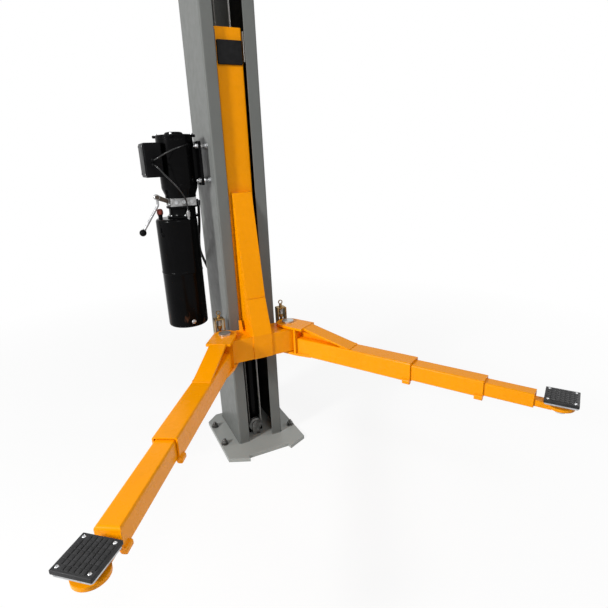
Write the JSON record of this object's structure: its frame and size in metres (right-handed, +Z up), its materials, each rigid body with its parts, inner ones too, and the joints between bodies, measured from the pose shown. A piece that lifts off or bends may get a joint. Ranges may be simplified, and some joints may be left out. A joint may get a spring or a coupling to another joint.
{
  "type": "two post car lift column with swing arms",
  "caption": "Powered column of a two post car lift with a sliding carriage, telescopic swing arms with turning pads, and a hydraulic power unit on its side",
  "frame": {"origin": "middle of the column's width, 160 mm behind its front face, on the underside of the base plate", "axes": "+Z up, the open side of the column and the arms face -Y, the power unit stands on the -X side"},
  "size_m": [1.7763, 1.6442, 3.432],
  "materials": {
    "grey_paint": "satin",
    "orange_paint": "gloss",
    "black_paint": "gloss",
    "zinc": "satin",
    "oiled_steel": "satin",
    "chromed_rod": "polished",
    "cast_aluminium": "cast",
    "black_rubber": "matte",
    "nylon": "matte",
    "red_plastic": "satin",
    "black_plastic": "satin"
  },
  "bodies": {
    "stand": {"base_plate": "grey_paint", "column": "grey_paint", "top_plate": "grey_paint", "anchor_bolts": "zinc", "cylinder": "black_paint", "chain_anchor": "oiled_steel", "base_sheave_bracket": "zinc", "top_sheave_bracket": "zinc", "rope_return": "oiled_steel", "motor_foot": "black_paint", "foot_bolts": "zinc", "motor": "black_paint", "motor_cap": "black_paint", "control_box": "black_plastic", "valve_block": "cast_aluminium", "tank_neck": "black_paint", "tank": "black_paint", "hose": "black_rubber", "wiring": "black_rubber", "hose_fittings": "zinc", "filler_cap": "red_plastic"},
    "carriage": {"carriage": "orange_paint", "carriage_cap": "orange_paint", "slider_blocks": "nylon", "door_guard": "black_rubber", "gusset": "orange_paint", "crossbeam": "orange_paint", "pivot_pins": "zinc", "restraint_bracket_left": "orange_paint", "restraint_bracket_right": "orange_paint", "restraint_spring_left": "zinc", "restraint_spring_right": "zinc", "chain_front": "oiled_steel", "rope_up": "oiled_steel", "rope_down": "oiled_steel"},
    "left_outer": {"left_arm_outer": "orange_paint"},
    "left_inner": {"left_arm_inner": "orange_paint", "left_pad_disc": "orange_paint"},
    "left_pad": {"left_pad_screw": "zinc", "left_pad": "black_rubber"},
    "right_outer": {"right_arm_outer": "orange_paint"},
    "right_middle": {"right_arm_middle": "orange_paint"},
    "right_inner": {"right_arm_inner": "orange_paint", "right_pad_disc": "orange_paint"},
    "right_pad": {"right_pad_screw": "zinc", "right_pad": "black_rubber"},
    "restraint_left": {"restraint_pin_left": "zinc"},
    "restraint_right": {"restraint_pin_right": "zinc"},
    "ram": {"ram": "chromed_rod", "chain_rear": "oiled_steel"},
    "chain_roller": {"chain_roller": "oiled_steel"},
    "base_sheave": {"base_sheave": "zinc"},
    "top_sheave_left": {"top_sheave_left": "zinc"},
    "top_sheave_right": {"top_sheave_right": "zinc"},
    "lever": {"lever": "zinc", "lever_knob": "black_plastic"}
  },
  "joints": [
    {"name": "lift", "type": "slide", "parent": "stand", "child": "carriage", "axis": [0, 0, 1], "range_m": [-0.45, 1.22], "deforming": ["rope_up", "rope_down", "chain_front"]},
    {"name": "ram_slide", "type": "slide", "parent": "stand", "child": "ram", "axis": [0, 0, 1], "range_m": [-0.225, 0.61], "deforming": ["chain_rear"]},
    {"name": "chain_roller_spin", "type": "hinge", "parent": "ram", "child": "chain_roller", "pos_m": [0, -0.04, 1.348], "axis": [1, 0, 0], "continuous": true},
    {"name": "base_sheave_spin", "type": "hinge", "parent": "stand", "child": "base_sheave", "pos_m": [-0.007, -0.096, 0.078], "axis": [0, 1, 0], "continuous": true},
    {"name": "top_sheave_left_spin", "type": "hinge", "parent": "stand", "child": "top_sheave_left", "pos_m": [-0.041, -0.13, 3.368], "axis": [1, 0, 0], "continuous": true},
    {"name": "top_sheave_right_spin", "type": "hinge", "parent": "stand", "child": "top_sheave_right", "pos_m": [0.027, -0.13, 3.368], "axis": [1, 0, 0], "continuous": true},
    {"name": "left_swing", "type": "hinge", "parent": "carriage", "child": "left_outer", "pos_m": [-0.169, -0.234, 0.628], "axis": [0, 0, 1], "range_deg": [-58, 30]},
    {"name": "left_extend", "type": "slide", "parent": "left_outer", "child": "left_inner", "axis": [-0.5299, -0.848, 0], "range_m": [-0.33, 0.1]},
    {"name": "left_pad_turn", "type": "hinge", "parent": "left_inner", "child": "left_pad", "pos_m": [-0.83246, -1.29576, 0.6], "axis": [0, 0, 1], "continuous": true},
    {"name": "right_swing", "type": "hinge", "parent": "carriage", "child": "right_outer", "pos_m": [0.169, -0.234, 0.628], "axis": [0, 0, 1], "range_deg": [-27, 60]},
    {"name": "right_extend_middle", "type": "slide", "parent": "right_outer", "child": "right_middle", "axis": [0.4879, -0.8729, 0], "range_m": [-0.27, 0.08]},
    {"name": "right_extend_inner", "type": "slide", "parent": "right_middle", "child": "right_inner", "axis": [0.4879, -0.8729, 0], "range_m": [-0.17, 0.1]},
    {"name": "right_pad_turn", "type": "hinge", "parent": "right_inner", "child": "right_pad", "pos_m": [0.78809, -1.34174, 0.6], "axis": [0, 0, 1], "continuous": true},
    {"name": "restraint_left_lift", "type": "slide", "parent": "carriage", "child": "restraint_left", "axis": [0, 0, 1], "range_m": [0, 0.015], "stiffness_N_per_m": 900, "springref_m": -0.01, "deforming": ["restraint_spring_left"]},
    {"name": "restraint_right_lift", "type": "slide", "parent": "carriage", "child": "restraint_right", "axis": [0, 0, 1], "range_m": [0, 0.015], "stiffness_N_per_m": 900, "springref_m": -0.01, "deforming": ["restraint_spring_right"]},
    {"name": "lever_turn", "type": "hinge", "parent": "stand", "child": "lever", "pos_m": [-0.373, -0.02, 1.363], "axis": [0, 1, 0], "range_deg": [0, 25], "stiffness_Nm_per_rad": 2, "springref_deg": -14.32}
  ],
  "couplings": [
    {"joint": "ram_slide", "follows": "lift", "ratio": 0.5}
  ]
}
